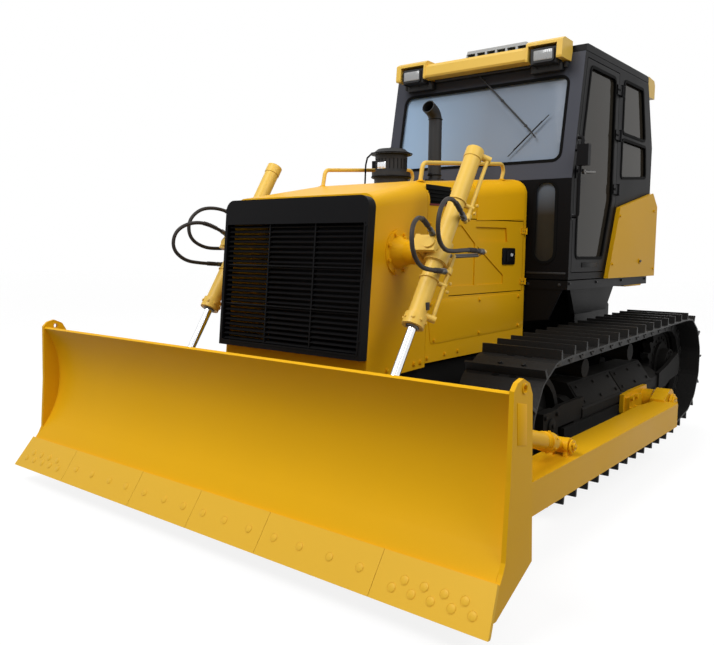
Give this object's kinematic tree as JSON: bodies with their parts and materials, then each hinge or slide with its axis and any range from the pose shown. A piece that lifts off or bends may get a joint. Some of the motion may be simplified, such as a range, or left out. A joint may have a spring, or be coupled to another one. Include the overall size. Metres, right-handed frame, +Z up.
{
  "type": "bulldozer",
  "caption": "Medium crawler bulldozer with a straight blade on push arms, lift cylinders, enclosed cab, hood and steel tracks.",
  "frame": {"origin": "on the ground below the middle of the machine's overall box", "axes": "+X forward, towards the blade; +Y to the operator's left; +Z up"},
  "size_m": [5.14, 3.386, 3.085],
  "materials": {
    "yellow_paint": "semi-gloss paint",
    "pale_yellow_paint": "semi-gloss paint",
    "black_paint": "satin paint",
    "grey_paint": "satin paint",
    "track_steel": "worn rolled and cast steel",
    "rod_chrome": "polished",
    "hose_rubber": "matt braided cover",
    "window_glass": "tinted safety glass",
    "seat_fabric": "woven cloth",
    "dark_plastic": "textured",
    "lamp_glass": "clear lamp lens",
    "vent_grey": "satin"
  },
  "bodies": {
    "machine": {"track_left": "track_steel", "track_right": "track_steel", "front_idlers": "track_steel", "sprockets": "track_steel", "track_rollers": "track_steel", "track_frame_left": "black_paint", "track_frame_right": "black_paint", "trunnions": "yellow_paint", "main_frame": "black_paint", "rear_case": "black_paint", "cross_shafts": "track_steel", "drawbar": "black_paint", "fuel_tank": "yellow_paint", "engine_block": "grey_paint", "radiator": "black_paint", "radiator_guard": "yellow_paint", "grille": "black_paint", "hood": "yellow_paint", "precleaner": "black_paint", "exhaust_stack": "black_paint", "handrails": "yellow_paint", "platform": "black_paint", "side_box_left": "yellow_paint", "side_box_right": "yellow_paint", "cab_shell": "black_paint", "cab_glass": "window_glass", "cab_roof": "black_paint", "cab_visor": "yellow_paint", "work_lamps": "lamp_glass", "roof_vent": "vent_grey", "operator_seat": "seat_fabric", "console": "dark_plastic", "cab_fittings": "black_paint"},
    "blade": {"moldboard": "yellow_paint", "cutting_edges": "pale_yellow_paint", "push_arm_left": "yellow_paint", "push_arm_right": "yellow_paint", "pitch_brace": "yellow_paint", "tilt_cylinder": "yellow_paint"},
    "lift_cylinder_left_body": {"lift_cylinder_left": "pale_yellow_paint", "hose_lower_left": "hose_rubber", "hose_upper_left": "hose_rubber"},
    "lift_rod_left_body": {"lift_rod_left": "rod_chrome"},
    "cab_door_left_body": {"cab_door_left": "black_paint", "door_glass_left": "window_glass"},
    "hood_door_left_body": {"hood_door_left": "yellow_paint"},
    "lift_cylinder_right_body": {"lift_cylinder_right": "pale_yellow_paint", "hose_lower_right": "hose_rubber", "hose_upper_right": "hose_rubber"},
    "lift_rod_right_body": {"lift_rod_right": "rod_chrome"},
    "cab_door_right_body": {"cab_door_right": "black_paint", "door_glass_right": "window_glass"},
    "hood_door_right_body": {"hood_door_right": "yellow_paint"}
  },
  "joints": [
    {"name": "blade_lift", "type": "hinge", "parent": "machine", "child": "blade", "pos_m": [-0.9, 0, 0.385], "axis": [0, -1, 0], "range_deg": [-7.6, 15.5]},
    {"name": "lift_cylinder_left_swing", "type": "hinge", "parent": "machine", "child": "lift_cylinder_left_body", "pos_m": [1.505, 0.78, 1.48], "axis": [0, -1, 0], "range_deg": [-12.73, 25.64]},
    {"name": "lift_rod_left_slide", "type": "slide", "parent": "lift_cylinder_left_body", "child": "lift_rod_left_body", "axis": [0.5308, 0, -0.8475], "range_m": [-0.675, 0.334]},
    {"name": "cab_door_left_swing", "type": "hinge", "parent": "machine", "child": "cab_door_left_body", "pos_m": [-1.05, 0.813, 2.1], "axis": [0, 0, 1], "range_deg": [0, 90]},
    {"name": "hood_door_left_swing", "type": "hinge", "parent": "machine", "child": "hood_door_left_body", "pos_m": [-0.135, 0.484, 1.54], "axis": [0, 0, 1], "range_deg": [0, 90]},
    {"name": "lift_cylinder_right_swing", "type": "hinge", "parent": "machine", "child": "lift_cylinder_right_body", "pos_m": [1.505, -0.78, 1.48], "axis": [0, -1, 0], "range_deg": [-12.73, 25.64]},
    {"name": "lift_rod_right_slide", "type": "slide", "parent": "lift_cylinder_right_body", "child": "lift_rod_right_body", "axis": [0.5308, 0, -0.8475], "range_m": [-0.675, 0.334]},
    {"name": "cab_door_right_swing", "type": "hinge", "parent": "machine", "child": "cab_door_right_body", "pos_m": [-1.05, -0.813, 2.1], "axis": [0, 0, -1], "range_deg": [0, 90]},
    {"name": "hood_door_right_swing", "type": "hinge", "parent": "machine", "child": "hood_door_right_body", "pos_m": [-0.135, -0.484, 1.54], "axis": [0, 0, -1], "range_deg": [0, 90]}
  ],
  "couplings": [
    {"joint": "lift_cylinder_left_swing", "follows": "blade_lift", "ratio": 1.635},
    {"joint": "lift_rod_left_slide", "follows": "blade_lift", "m_per_rad": -2.4775},
    {"joint": "lift_cylinder_right_swing", "follows": "blade_lift", "ratio": 1.635},
    {"joint": "lift_rod_right_slide", "follows": "blade_lift", "m_per_rad": -2.4775}
  ]
}
